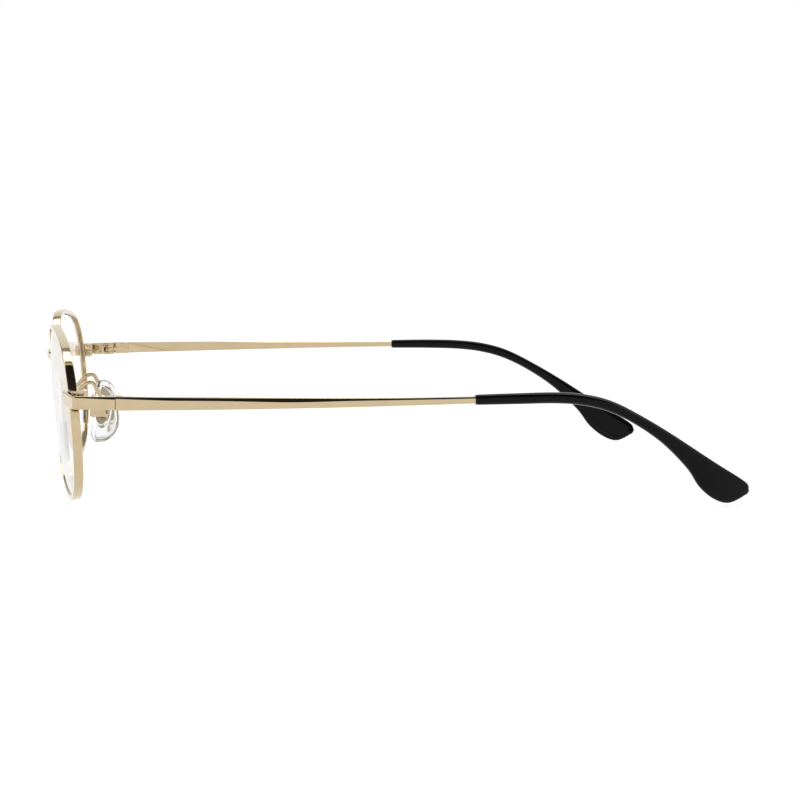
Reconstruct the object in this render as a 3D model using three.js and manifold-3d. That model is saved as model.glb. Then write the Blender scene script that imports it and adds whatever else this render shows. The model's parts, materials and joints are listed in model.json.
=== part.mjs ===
// Full-rim metal eyeglasses with folding temples, screw-held nose pads and sleeved temple tips.
// Units are millimetres. +X is the wearer's left, +Y runs from the lenses to the ears, +Z is up.
// Everything is drawn for the wearer's left and mirrored; at the end the whole pair is set down
// with the middle of its bounding box's underside at the origin.
import * as THREE from 'three';
import { mergeVertices } from 'three/addons/utils/BufferGeometryUtils.js';
import Module from 'manifold-3d';

const wasm = await Module();
wasm.setup();

// Edges shorter than this are closed up after a cut.
const SLIVER = 0.03;

// Play between fixed neighbours, and around screws and knuckles.
const JOIN_GAP = 0.05;
const SCREW_GAP = 0.06;
const HINGE_GAP = 0.05;

// Front: a lens lies in a plane Y = FRONT_Y + WRAP * X + LEAN * Z, and its nasal side sweeps back.
const FRONT_Y = -14.97;
const WRAP = 0.105;
const LEAN = -0.066;
const NASAL_SWEEP = 0.75;
const NASAL_SWEEP_X = [20, 9];
const RIM_DEPTH = 2.0;
const RIM_THICK = 1.1;
const RIM_CHAMFER = 0.2;
const GROOVE_DEPTH = -0.2;
const GROOVE_HALF = 0.38;
const GROOVE_BOTTOM = 0.45;
const RIM_SPLIT = 0.1;
const RIM_STATIONS = 64;

// Outer edge of the left rim seen from the front, as X and Z, starting at the closing lock.
const RIM_OUTLINE = [
  [58.1, 0.4], [54.9, 6.0], [49.5, 9.6], [42.0, 11.5], [33.0, 12.7], [24.0, 13.3], [16.4, 12.1],
  [11.0, 7.7], [8.9, 0.8], [9.6, -6.2], [12.1, -13.0], [16.4, -18.5], [22.6, -22.5], [29.5, -24.6],
  [35.5, -24.9], [42.0, -24.1], [48.8, -21.9], [54.4, -18.2], [57.9, -12.6], [59.0, -6.0],
];
const LENS_CENTRE = [34, -6.2];
const LENS_THICK = 0.9;
const LENS_DOME = 1.5;
const LENS_BEVEL_HALF = 0.3;
const LENS_RINGS = [0.35, 0.7];

// Bridge: a flat bar that bows forward and up between the rims.
const BRIDGE_HEIGHT = 2.3;
const BRIDGE_THICK = 1.3;
const BRIDGE_END = [11.5, -13.5, 4.2];
const BRIDGE_MIDDLE = [-15.35, 4.7];
const BRIDGE_SWELL = 0.12;
const BRIDGE_STATIONS = 19;

// Endpiece: the bar that wraps from the rim's front round to the hinge seam.
const SEAM_Y = 0;
const ENDPIECE_FRONT = [57.2, -11.2];
const ENDPIECE_CORNER = [67.75, -8.85];
const ENDPIECE_SEAM = [69.6, -0.1];
const ENDPIECE_BEND = 0.75;
const ENDPIECE_THICK = 1.05;
const ENDPIECE_BEVEL = 0.35;
const ENDPIECE_EASE = 0.15;
const ENDPIECE_TOP = 1.42;
const ENDPIECE_BOTTOM = -1.3;
const ENDPIECE_ROUND = 1.5;
const ENDPIECE_RISE = 0.2;
const ENDPIECE_RISE_LENGTH = 10;

// Closing lock on the rim's outer side.
const LOCK_X = [57.6, 62.4];
const LOCK_Y = [-9.2, -5.95];
const LOCK_SPLIT_Z = 0.4;
const LOCK_HALF_HEIGHT = 1.55;
const LOCK_SCREW_AT = [60.9, -7.4];
const LOCK_SCREW_RADIUS = 0.5;
const LOCK_SCREW_HEAD = [0.95, 0.4];

// Hinge: a vertical pin inside the seam, two knuckles in front and one on the temple.
const HINGE_AT = [66.85, -1.5];
const KNUCKLE_RADIUS = 1.25;
const HINGE_BOTTOM = -1.45;
const HINGE_TOP = 1.15;
const HINGE_SPLIT = 0.45;
const HINGE_MIDDLE_Z = -0.15;
const HINGE_SCREW_RADIUS = 0.55;
const HINGE_SCREW_HEAD = [0.95, 0.25];
const LEAF_THICK = 0.95;
const FRONT_LEAF_Y = [-5.7, -2.95];
const FRONT_LEAF_OUTER = 0.42;
const TEMPLE_LEAF_Y = [0.15, 3.7];
const TEMPLE_LEAF_Z = [-1.4, 1.58];
const TEMPLE_LEAF_NECK = [-0.35, 1.1];

// Temple: sideways it bows out and then tucks in behind the ear; its edges are Y and Z.
const TEMPLE_SPREAD = 69;
const TEMPLE_BOW = 3.6;
const TEMPLE_BOW_LENGTH = 100;
const TEMPLE_TUCK = 10.7;
const TEMPLE_TUCK_START = 84;
const TEMPLE_TUCK_LENGTH = 56;
const TEMPLE_TUCK_POWER = 1.3;
const TEMPLE_CANT = 0.11;
const TEMPLE_CANT_LENGTH = 15;
const BAR_TOP = [[0.1, 1.48], [10, 1.29], [20, 1.18], [40, 0.92], [60, 0.74], [75.55, 0.72]];
const BAR_BOTTOM = [[0.1, -1.42], [10, -1.33], [20, -1.27], [40, -1.07], [60, -0.83], [75.55, -0.68]];
const BAR_HALF_THICK = [0.68, 0.58];
const BAR_STATIONS = 20;
const TIP_TOP = [
  [75.6, 1.11], [85, 1.2], [93.4, 1.06], [100.1, 0.32], [106.3, -1.4], [113, -4.75],
  [120.5, -9.2], [127.7, -13.85], [132.6, -17], [137, -19.7], [139.3, -21.35], [139.75, -22.6],
];
const TIP_BOTTOM = [
  [75.6, -1.07], [85, -1.12], [93, -1.28], [99.3, -1.95], [105.4, -3.6], [111.9, -6.8],
  [118.6, -11.4], [124.7, -17.3], [127.9, -21.65], [131.6, -24.6], [135.2, -25.6], [138.9, -23.9],
];
const TIP_HALF_THICK = [1.2, 1.4, 1.35, 0.6];
const TIP_STATIONS = 34;
const TIP_MOUTH = [[-0.3, 0.82], [-0.05, 0.94], [0.5, 1]];
const TIP_END_ROUND = [0, 0.12, -0.05];
const TIP_END_SHARE = 0.6;
const CORE_END = 0.62;
const CORE_HALF_START = [0.58, 0.7];
const CORE_HALF_END = [0.45, 0.45];
const CORE_STATIONS = 18;

// Nose pads, drawn in their own frame: x away from the nose, y to the rear, z up, origin on the pivot.
const PAD_PIVOT = [9.75, -3.7, -8.1];
const PAD_SPLAY = THREE.MathUtils.degToRad(25);
const PAD_SLANT = THREE.MathUtils.degToRad(14);
const PAD_OUTLINE = [
  [-1.2, 6.3], [1.0, 5.7], [2.8, 3.6], [3.8, 0.9], [4.3, -2.2], [3.5, -4.8], [1.6, -6.6],
  [-0.2, -7.15], [-1.6, -7.05], [-2.4, -6], [-2.6, -3], [-2.6, 1], [-2.3, 4.4],
];
const PAD_POINTS = 35;
const PAD_BACK_X = -1.55;
const PAD_THICK = 1.7;
const PAD_EDGE_HALF = 0.5;
const PAD_CROWN = [[0, 0.35], [0.25, 0.7], [0.7, 0.93]];
const PAD_BOSS = { at: [0.1, 0], half: [2.3, 3.8], height: 0.45, foot: 0.4, taper: 0.3 };
const PLATE = { at: [-0.25, 0], half: [1.55, 2.95], thick: 0.5, x: -2.1 };
const OVAL_POINTS = 28;
const LUG_HALF = 1.05;
const LUG_HALF_HEIGHT = 0.6;
const LUG_RADIUS = 0.85;
const BOX_HALF_WIDTH = 2.0;
const BOX_HALF_HEIGHT = 1.6;
const BOX_WALL = 0.6;
const BOX_ROOF = 0.5;
const BOX_REAR_WALL = 0.15;
const BOX_BACK_X = 1.1;
const BOX_FRONT_X = -0.55;
const PAD_SCREW_RADIUS = 0.4;
const PAD_SCREW_HEAD = [0.75, 0.35];
const ARM_RADIUS = 0.48;
const ARM_PATH = [
  [10.05, -11.7, -6.1], [10.1, -10.55, -5.3], [9.95, -9.0, -3.9], [9.7, -7.5, -2.2],
  [9.6, -6.3, -1.5], [9.65, -5.2, -1.6], [9.8, -4.5, -2.8],
];
const ARM_END_X = 0.45;
const ARM_END_Z = [3.4, 2.4, 1.68];
const ARM_STATIONS = 26;

const ROUND_SIDES = 16;
const BARREL_SIDES = 24;

const GOLD = { color: 0xd6c4a0, metalness: 1, roughness: 0.22 };
const SCREW_GOLD = { color: 0xb9a47c, metalness: 1, roughness: 0.3 };
const INSERT_GOLD = { color: 0xa8946e, metalness: 1, roughness: 0.35 };
const LENS_CLEAR = { color: 0xf4f7fa, metalness: 0, roughness: 0.03, transparent: true, opacity: 0.25 };
const PAD_CLEAR = { color: 0xeef0f1, metalness: 0, roughness: 0.15, transparent: true, opacity: 0.5 };
const TIP_BLACK = { color: 0x0b0b0c, metalness: 0, roughness: 0.18 };

const glasses = new THREE.Group();

// ---- Solids, lofts and sections ----

function signedVolume(positions, index) {
  const a = new THREE.Vector3();
  const b = new THREE.Vector3();
  const c = new THREE.Vector3();
  let sum = 0;
  for (let i = 0; i < index.length; i += 3) {
    a.fromArray(positions, index[i] * 3);
    b.fromArray(positions, index[i + 1] * 3);
    c.fromArray(positions, index[i + 2] * 3);
    sum += a.dot(b.cross(c));
  }
  return sum / 6;
}

function flipped(index) {
  const out = [];
  for (let i = 0; i < index.length; i += 3) {
    out.push(index[i], index[i + 2], index[i + 1]);
  }
  return out;
}

function closedBody(positions, index) {
  const geometry = new THREE.BufferGeometry();
  geometry.setAttribute('position', new THREE.Float32BufferAttribute(positions, 3));
  geometry.setIndex(signedVolume(positions, index) < 0 ? flipped(index) : index);
  return geometry;
}

function ringNormal(ring) {
  const normal = new THREE.Vector3();
  ring.forEach((p, i) => {
    normal.add(p.clone().cross(ring[(i + 1) % ring.length]));
  });
  return normal.normalize();
}

// Triangles that close a ring, all turning the same way as the ring does.
function ringCap(ring) {
  const normal = ringNormal(ring);
  const u = ring[1].clone().sub(ring[0]).normalize();
  const v = normal.clone().cross(u);
  const flat = ring.map((p) => new THREE.Vector2(p.dot(u), p.dot(v)));
  return THREE.ShapeUtils.triangulateShape(flat, []).map(([i, j, k]) => {
    const turn = flat[j].clone().sub(flat[i]).cross(flat[k].clone().sub(flat[i]));
    return turn > 0 ? [i, j, k] : [i, k, j];
  });
}

// Skins a row of rings with the same number of points and closes its two ends.
function loft(rings) {
  const count = rings[0].length;
  const positions = rings.flat().flatMap((p) => [p.x, p.y, p.z]);
  const index = [];
  for (let i = 0; i < rings.length - 1; i += 1) {
    for (let j = 0; j < count; j += 1) {
      const a = i * count + j;
      const b = i * count + ((j + 1) % count);
      index.push(a, b, a + count, b, b + count, a + count);
    }
  }
  ringCap(rings[0]).forEach(([i, j, k]) => index.push(i, k, j));
  const last = (rings.length - 1) * count;
  ringCap(rings.at(-1)).forEach(([i, j, k]) => index.push(last + i, last + j, last + k));
  return closedBody(positions, index);
}

function sweep(stations, section) {
  return loft(stations.map(({ at, u, v }) => section.map(
    ([a, b]) => at.clone().addScaledVector(u, a).addScaledVector(v, b),
  )));
}

function solid(geometry) {
  const bare = geometry.clone();
  bare.deleteAttribute('normal');
  bare.deleteAttribute('uv');
  const merged = mergeVertices(bare, 1e-5);
  return new wasm.Manifold(new wasm.Mesh({
    numProp: 3,
    vertProperties: new Float32Array(merged.attributes.position.array),
    triVerts: new Uint32Array(merged.index.array),
  }));
}

function geometryOf(manifold) {
  const mesh = manifold.getMesh();
  const geometry = new THREE.BufferGeometry();
  geometry.setAttribute('position', new THREE.Float32BufferAttribute(mesh.vertProperties, 3));
  geometry.setIndex(Array.from(mesh.triVerts));
  return geometry;
}

function block([x0, x1], [y0, y1], [z0, z1]) {
  const geometry = new THREE.BoxGeometry(x1 - x0, y1 - y0, z1 - z0);
  geometry.translate((x0 + x1) / 2, (y0 + y1) / 2, (z0 + z1) / 2);
  return solid(geometry);
}

function postZ([x, y], radius, z0, z1, sides = ROUND_SIDES) {
  const geometry = new THREE.CylinderGeometry(radius, radius, z1 - z0, sides);
  geometry.rotateX(Math.PI / 2);
  geometry.translate(x, y, (z0 + z1) / 2);
  return solid(geometry);
}

function postY(radius, y0, y1, sides = ROUND_SIDES) {
  const geometry = new THREE.CylinderGeometry(radius, radius, y1 - y0, sides);
  geometry.translate(0, (y0 + y1) / 2, 0);
  return solid(geometry);
}

// Rounded unit section: power 2 is an ellipse and higher powers are squarer.
function roundSection(points, power) {
  return Array.from({ length: points }, (_, i) => {
    const angle = ((i + 0.5) / points) * 2 * Math.PI;
    const c = Math.cos(angle);
    const s = Math.sin(angle);
    return [Math.sign(c) * Math.abs(c) ** (2 / power), Math.sign(s) * Math.abs(s) ** (2 / power)];
  });
}

function closedCurve(points) {
  return new THREE.CatmullRomCurve3(
    points.map(([a, b]) => new THREE.Vector3(a, b, 0)),
    true,
    'centripetal',
  );
}

// A slotted screw along +Z with its head's underside at the origin and its shank below.
function slottedScrew(radius, shank, [headRadius, headHeight]) {
  const profile = [[0, -shank], [radius, -shank], [radius, 0], [headRadius, 0],
    [headRadius, headHeight * 0.6], [headRadius * 0.8, headHeight], [0, headHeight]];
  const body = new THREE.LatheGeometry(profile.map((p) => new THREE.Vector2(...p)), ROUND_SIDES);
  body.rotateX(Math.PI / 2);
  const slotHalf = headRadius * 0.16;
  const slot = block([-2 * headRadius, 2 * headRadius], [-slotHalf, slotHalf], [headHeight * 0.45, 2]);
  return solid(body).subtract(slot);
}

// ---- Front ----

const FRONT_NORMAL = new THREE.Vector3(-WRAP, 1, -LEAN).normalize();

function onFront(x, z, depth = 0) {
  const share = Math.max(0, (NASAL_SWEEP_X[0] - x) / (NASAL_SWEEP_X[0] - NASAL_SWEEP_X[1]));
  const y = FRONT_Y + WRAP * x + LEAN * z + NASAL_SWEEP * share ** 2;
  return new THREE.Vector3(x, y, z).addScaledVector(FRONT_NORMAL, depth);
}

// Stations round the rim's outer edge, each with its inward direction in X and Z.
function rimStations(from, to, count) {
  const curve = closedCurve(RIM_OUTLINE);
  return Array.from({ length: count }, (_, i) => {
    const u = from + ((to - from) * i) / (count - 1);
    const at = curve.getPointAt(u);
    const along = curve.getTangentAt(u);
    return { at, inward: new THREE.Vector3(-along.y, along.x, 0) };
  });
}

function rimPoint({ at, inward }, inset, depth) {
  return onFront(at.x + inward.x * inset, at.y + inward.y * inset, depth);
}

function rimLoop() {
  return rimStations(0, 1 - 1 / RIM_STATIONS, RIM_STATIONS);
}

function rim() {
  const half = RIM_DEPTH / 2;
  const section = [
    [0, -half + RIM_CHAMFER], [RIM_CHAMFER, -half], [RIM_THICK, -half],
    [RIM_THICK, GROOVE_DEPTH - GROOVE_HALF], [GROOVE_BOTTOM, GROOVE_DEPTH],
    [RIM_THICK, GROOVE_DEPTH + GROOVE_HALF], [RIM_THICK, half], [RIM_CHAMFER, half],
    [0, half - RIM_CHAMFER],
  ];
  const edge = RIM_SPLIT / 2 / closedCurve(RIM_OUTLINE).getLength();
  const stations = rimStations(edge, 1 - edge, RIM_STATIONS + 1);
  return loft(stations.map((s) => section.map(([inset, depth]) => rimPoint(s, inset, depth))));
}

// The whole disc that a rim fills, a little oversize, used to trim what is soldered to it.
function rimDisc() {
  const reach = RIM_DEPTH / 2 + JOIN_GAP;
  const ring = (depth) => rimLoop().map((s) => rimPoint(s, -JOIN_GAP, depth));
  return solid(loft([ring(-reach), ring(reach)]));
}

function lens() {
  const half = LENS_THICK / 2;
  const edge = RIM_THICK + JOIN_GAP;
  const apex = GROOVE_BOTTOM + 2 * JOIN_GAP;
  const loop = rimLoop();
  const inner = (share, side) => loop.map((s) => {
    const x = s.at.x + s.inward.x * edge;
    const z = s.at.y + s.inward.y * edge;
    return onFront(
      THREE.MathUtils.lerp(LENS_CENTRE[0], x, share),
      THREE.MathUtils.lerp(LENS_CENTRE[1], z, share),
      GROOVE_DEPTH + side * half - LENS_DOME * (1 - share ** 2),
    );
  });
  const outer = [
    [edge, -half], [edge, -LENS_BEVEL_HALF], [apex, 0], [edge, LENS_BEVEL_HALF], [edge, half],
  ].map(([inset, depth]) => loop.map((s) => rimPoint(s, inset, GROOVE_DEPTH + depth)));
  return loft([
    ...LENS_RINGS.map((share) => inner(share, -1)),
    ...outer,
    ...LENS_RINGS.toReversed().map((share) => inner(share, 1)),
  ]);
}

function bridge() {
  const [ex, ey, ez] = BRIDGE_END;
  const [my, mz] = BRIDGE_MIDDLE;
  const stations = Array.from({ length: BRIDGE_STATIONS }, (_, i) => {
    const share = (2 * i) / (BRIDGE_STATIONS - 1) - 1;
    const lift = Math.cos((share * Math.PI) / 2);
    const swell = 1 + BRIDGE_SWELL * share ** 2;
    return {
      at: new THREE.Vector3(share * ex, ey + (my - ey) * lift, ez + (mz - ez) * lift),
      u: new THREE.Vector3(0, BRIDGE_THICK / 2, 0),
      v: new THREE.Vector3(0, 0, (BRIDGE_HEIGHT / 2) * swell),
    };
  });
  const bar = solid(sweep(stations, roundSection(12, 3)));
  const left = rimDisc();
  const right = solid(mirrored(geometryOf(left)));
  return geometryOf(bar.subtract(left).subtract(right));
}

// Outer face of the endpiece seen from above, from its front end round the corner to the seam.
function endpiecePath() {
  const front = new THREE.Vector2(...ENDPIECE_FRONT);
  const corner = new THREE.Vector2(...ENDPIECE_CORNER);
  const seam = new THREE.Vector2(...ENDPIECE_SEAM);
  const before = corner.clone().lerp(front, ENDPIECE_BEND / corner.distanceTo(front));
  const after = corner.clone().lerp(seam, ENDPIECE_BEND / corner.distanceTo(seam));
  const bend = new THREE.QuadraticBezierCurve(before, corner, after);
  const frontSteps = [0, 0.03, 0.07, 0.12, 0.18, 0.5].map((t) => front.clone().lerp(before, t));
  const sideSteps = [0.35, 0.7, 1].map((t) => after.clone().lerp(seam, t));
  return [...frontSteps, ...bend.getPoints(5), ...sideSteps];
}

function endpiece() {
  const path = endpiecePath();
  const rings = path.map((p, i) => {
    const along = path[Math.min(i + 1, path.length - 1)].clone().sub(path[Math.max(i - 1, 0)]);
    along.normalize();
    const inward = new THREE.Vector2(-along.y, along.x);
    const fromEnd = p.distanceTo(path[0]);
    const missing = Math.max(0, 1 - fromEnd / ENDPIECE_ROUND);
    const cut = ENDPIECE_ROUND * (1 - Math.sqrt(1 - missing ** 2));
    const rise = ENDPIECE_RISE * Math.max(0, 1 - fromEnd / ENDPIECE_RISE_LENGTH);
    const bottom = ENDPIECE_BOTTOM + rise + cut * 0.8;
    const top = ENDPIECE_TOP + rise;
    const inner = ENDPIECE_THICK - ENDPIECE_EASE;
    return [
      [0, bottom + ENDPIECE_EASE], [0, top - ENDPIECE_BEVEL], [ENDPIECE_BEVEL, top], [inner, top],
      [ENDPIECE_THICK, top - ENDPIECE_EASE], [ENDPIECE_THICK, bottom + ENDPIECE_EASE],
      [inner, bottom], [ENDPIECE_EASE, bottom],
    ].map(([inset, z]) => new THREE.Vector3(p.x + inward.x * inset, p.y + inward.y * inset, z));
  });
  return geometryOf(solid(loft(rings)).subtract(rimDisc()).simplify(SLIVER));
}

function lockHalf(upper) {
  const [z0, z1] = upper
    ? [LOCK_SPLIT_Z + JOIN_GAP, LOCK_SPLIT_Z + LOCK_HALF_HEIGHT]
    : [LOCK_SPLIT_Z - LOCK_HALF_HEIGHT, LOCK_SPLIT_Z - JOIN_GAP];
  const [sx, sy] = LOCK_SCREW_AT;
  const shell = postZ([sx, sy], LOCK_X[1] - sx, z0, z1, BARREL_SIDES)
    .add(block([LOCK_X[0], sx], [LOCK_Y[0], LOCK_Y[1]], [z0, z1]));
  const hole = postZ([sx, sy], LOCK_SCREW_RADIUS + SCREW_GAP, z0 - 1, z1 + 1);
  return geometryOf(shell.subtract(hole).subtract(rimDisc()));
}

function lockScrew() {
  const shank = 2 * LOCK_HALF_HEIGHT;
  const geometry = geometryOf(slottedScrew(LOCK_SCREW_RADIUS, shank, LOCK_SCREW_HEAD));
  geometry.rotateX(Math.PI);
  geometry.translate(...LOCK_SCREW_AT, LOCK_SPLIT_Z - LOCK_HALF_HEIGHT - JOIN_GAP);
  return geometry;
}

// ---- Hinge ----

const MIDDLE_KNUCKLE_Z = [HINGE_MIDDLE_Z - HINGE_SPLIT, HINGE_MIDDLE_Z + HINGE_SPLIT];

function hingeFrontLeaf() {
  const [hx, hy] = HINGE_AT;
  const hole = postZ(HINGE_AT, HINGE_SCREW_RADIUS + SCREW_GAP, HINGE_BOTTOM - 1, HINGE_TOP + 1);
  const x1 = hx + FRONT_LEAF_OUTER;
  const plate = block([x1 - LEAF_THICK, x1], FRONT_LEAF_Y, [HINGE_BOTTOM, HINGE_TOP]);
  const levels = [
    [HINGE_BOTTOM, MIDDLE_KNUCKLE_Z[0] - HINGE_GAP],
    [MIDDLE_KNUCKLE_Z[1] + HINGE_GAP, HINGE_TOP],
  ];
  return geometryOf(levels.reduce((leaf, [z0, z1]) => leaf
    .add(postZ(HINGE_AT, KNUCKLE_RADIUS, z0, z1, BARREL_SIDES))
    .add(block([x1 - LEAF_THICK, x1], [FRONT_LEAF_Y[1] - 0.2, hy], [z0, z1])), plate).subtract(hole));
}

// Side view of the leaf soldered to the temple: a plate with a notch above and below its waist.
function templeLeafPlate() {
  const [y0, y1] = TEMPLE_LEAF_Y;
  const [bottom, top] = TEMPLE_LEAF_Z;
  const points = [
    [y0, bottom], [y0 + 1, bottom], [y0 + 1.45, bottom + 0.55], [y0 + 1.95, bottom],
    [y1 - 0.3, bottom], [y1, bottom + 0.3], [y1, top - 0.45], [y1 - 0.3, top - 0.15],
    [y0 + 2.2, top - 0.15], [y0 + 1.75, top - 0.6], [y0 + 1.3, top - 0.05], [y0, top],
  ];
  const shape = new THREE.Shape(points.map((p) => new THREE.Vector2(...p)));
  const plate = new THREE.ExtrudeGeometry(shape, { depth: LEAF_THICK, bevelEnabled: false });
  plate.applyMatrix4(new THREE.Matrix4().makeBasis(
    new THREE.Vector3(0, 1, 0),
    new THREE.Vector3(0, 0, 1),
    new THREE.Vector3(1, 0, 0),
  ));
  const slope = Math.atan2(lateral(y1) - lateral(y0), y1 - y0);
  plate.rotateZ(-slope);
  const outerX = lateral(0) - BAR_HALF_THICK[0] - JOIN_GAP;
  plate.translate(outerX - LEAF_THICK, 0, 0);
  return solid(plate);
}

function hingeTempleLeaf() {
  const [hx, hy] = HINGE_AT;
  const hole = postZ(HINGE_AT, HINGE_SCREW_RADIUS + SCREW_GAP, HINGE_BOTTOM - 1, HINGE_TOP + 1);
  const neck = TEMPLE_LEAF_NECK.map((x) => hx + x);
  return geometryOf(templeLeafPlate()
    .add(postZ(HINGE_AT, KNUCKLE_RADIUS, ...MIDDLE_KNUCKLE_Z, BARREL_SIDES))
    .add(block(neck, [hy, TEMPLE_LEAF_Y[0] + 0.7], MIDDLE_KNUCKLE_Z))
    .subtract(hole));
}

function hingeScrew() {
  const shank = HINGE_TOP - HINGE_BOTTOM;
  const geometry = geometryOf(slottedScrew(HINGE_SCREW_RADIUS, shank, HINGE_SCREW_HEAD));
  geometry.translate(...HINGE_AT, HINGE_TOP + 0.02);
  return geometry;
}

// ---- Temples ----

function lateral(y) {
  const tuck = Math.max(0, (y - TEMPLE_TUCK_START) / TEMPLE_TUCK_LENGTH) ** TEMPLE_TUCK_POWER;
  return TEMPLE_SPREAD + TEMPLE_BOW * Math.sin((Math.PI * y) / TEMPLE_BOW_LENGTH) - TEMPLE_TUCK * tuck;
}

// The temple's section stands upright at the hinge and soon leans, top outward.
function cant(y) {
  return TEMPLE_CANT * Math.min(Math.max(y / TEMPLE_CANT_LENGTH, 0), 1);
}

// Stations between a top and a bottom edge; u is the unit sideways direction, v half the height.
function edgeStations(topEdge, bottomEdge, from, to, count) {
  const top = new THREE.SplineCurve(topEdge.map((p) => new THREE.Vector2(...p)));
  const bottom = new THREE.SplineCurve(bottomEdge.map((p) => new THREE.Vector2(...p)));
  const middle = (t) => {
    const m = top.getPoint(t).add(bottom.getPoint(t)).multiplyScalar(0.5);
    return new THREE.Vector3(lateral(m.x), m.x, m.y);
  };
  return Array.from({ length: count }, (_, i) => {
    const t = from + ((to - from) * i) / (count - 1);
    const rise = top.getPoint(t).sub(bottom.getPoint(t)).multiplyScalar(0.5);
    const v = new THREE.Vector3(rise.length() * cant(middle(t).y), rise.x, rise.y);
    const along = middle(Math.min(t + 0.004, 1)).sub(middle(Math.max(t - 0.004, 0)));
    return { t, at: middle(t), u: along.cross(v).normalize(), v };
  });
}

const BAR_SECTION = [
  [-1, -0.8], [-0.7, -1], [0.6, -1], [1, -0.8], [1, 0.5], [0.45, 1], [-0.7, 1], [-1, 0.8],
];

function coreStations(grow, from, to) {
  return edgeStations(TIP_TOP, TIP_BOTTOM, from, to, CORE_STATIONS).map(({ t, at, u, v }) => {
    const share = Math.max(0, t / CORE_END);
    const w = THREE.MathUtils.lerp(CORE_HALF_START[0], CORE_HALF_END[0], share) + grow;
    const h = THREE.MathUtils.lerp(CORE_HALF_START[1], CORE_HALF_END[1], share) + grow;
    return { at, u: u.multiplyScalar(w), v: v.normalize().multiplyScalar(h) };
  });
}

function temple() {
  const bar = edgeStations(BAR_TOP, BAR_BOTTOM, 0, 1, BAR_STATIONS).map(({ t, at, u, v }) => (
    { at, u: u.multiplyScalar(THREE.MathUtils.lerp(...BAR_HALF_THICK, t)), v }
  ));
  return sweep([...bar, ...coreStations(0, 0.001, CORE_END)], BAR_SECTION);
}

function templeTip() {
  const widths = new THREE.SplineCurve(TIP_HALF_THICK.map((w, i) => new THREE.Vector2(i, w)));
  const outer = edgeStations(TIP_TOP, TIP_BOTTOM, 0, 1, TIP_STATIONS).map(({ t, at, u, v }) => (
    { at, u: u.multiplyScalar(widths.getPoint(t).y), v }
  ));
  const mouth = TIP_MOUTH.map(([step, share]) => ({
    at: outer[0].at.clone().setY(outer[0].at.y + step),
    u: outer[0].u.clone().multiplyScalar(share),
    v: outer[0].v.clone().multiplyScalar(share),
  }));
  const last = outer.at(-1);
  const end = {
    at: last.at.clone().add(new THREE.Vector3(...TIP_END_ROUND)),
    u: last.u.clone().multiplyScalar(TIP_END_SHARE),
    v: last.v.clone().multiplyScalar(TIP_END_SHARE),
  };
  const body = solid(sweep([...mouth, ...outer.slice(1), end], roundSection(12, 2.6)));
  const bore = coreStations(JOIN_GAP, 0, CORE_END + 0.004);
  const lead = { ...bore[0], at: bore[0].at.clone().setY(bore[0].at.y - 1) };
  return geometryOf(body.subtract(solid(sweep([lead, ...bore], BAR_SECTION))));
}

// ---- Nose pads ----

const PAD_FRAME = new THREE.Matrix4()
  .makeTranslation(...PAD_PIVOT)
  .multiply(new THREE.Matrix4().makeRotationZ(-PAD_SPLAY))
  .multiply(new THREE.Matrix4().makeRotationY(-PAD_SLANT));

function inPadFrame(manifold) {
  const geometry = geometryOf(manifold);
  geometry.applyMatrix4(PAD_FRAME);
  return geometry;
}

function ovalRing(x, [cy, cz], [hy, hz]) {
  return Array.from({ length: OVAL_POINTS }, (_, i) => {
    const angle = (i / OVAL_POINTS) * 2 * Math.PI;
    return new THREE.Vector3(x, cy + hy * Math.cos(angle), cz + hz * Math.sin(angle));
  });
}

function plateSolid(grow) {
  const half = PLATE.half.map((h) => h + grow);
  const depth = PLATE.thick / 2 + grow;
  const lugHalf = LUG_HALF + grow;
  const lugHeight = LUG_HALF_HEIGHT + grow;
  const levels = [PLATE.x - depth, PLATE.x + depth];
  return solid(loft(levels.map((x) => ovalRing(x, PLATE.at, half))))
    .add(block([PLATE.x, 0], [-lugHalf, lugHalf], [-lugHeight, lugHeight]));
}

function nosePad() {
  const points = closedCurve(PAD_OUTLINE).getSpacedPoints(PAD_POINTS).slice(0, -1);
  const [cy, cz] = PAD_BOSS.at;
  const ring = ([x, share]) => points.map((p) => new THREE.Vector3(
    x,
    THREE.MathUtils.lerp(cy, p.x, share),
    THREE.MathUtils.lerp(cz, p.y, share),
  ));
  const front = PAD_BACK_X - PAD_THICK;
  const body = solid(loft([
    ...PAD_CROWN.map(([step, share]) => [front + step, share]),
    [PAD_BACK_X - PAD_EDGE_HALF, 1],
    [PAD_BACK_X + 0.05, 0.93],
    [PAD_BACK_X + 0.1, 0.35],
  ].map(ring)));
  const bossTop = PAD_BOSS.half.map((h) => h - PAD_BOSS.taper);
  const boss = solid(loft([
    ovalRing(PAD_BACK_X - PAD_BOSS.foot, PAD_BOSS.at, PAD_BOSS.half),
    ovalRing(PAD_BACK_X + PAD_BOSS.height, PAD_BOSS.at, bossTop),
  ]));
  return inPadFrame(body.add(boss).subtract(plateSolid(JOIN_GAP)));
}

function padInsert() {
  const hole = postY(PAD_SCREW_RADIUS + SCREW_GAP, -3, 3);
  const lug = postY(LUG_RADIUS, -LUG_HALF, LUG_HALF);
  return inPadFrame(plateSolid(0).add(lug).subtract(hole));
}

function padBox() {
  const outside = block(
    [BOX_FRONT_X, BOX_BACK_X],
    [-BOX_HALF_WIDTH, BOX_HALF_WIDTH],
    [-BOX_HALF_HEIGHT, BOX_HALF_HEIGHT],
  );
  const inside = BOX_HALF_WIDTH - BOX_WALL;
  const channel = block(
    [BOX_FRONT_X - 1, BOX_BACK_X - BOX_REAR_WALL],
    [-inside, inside],
    [-BOX_HALF_HEIGHT - 1, BOX_HALF_HEIGHT - BOX_ROOF],
  );
  const hole = postY(PAD_SCREW_RADIUS + SCREW_GAP, -3, 3);
  return inPadFrame(outside.subtract(channel).subtract(hole));
}

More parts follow.
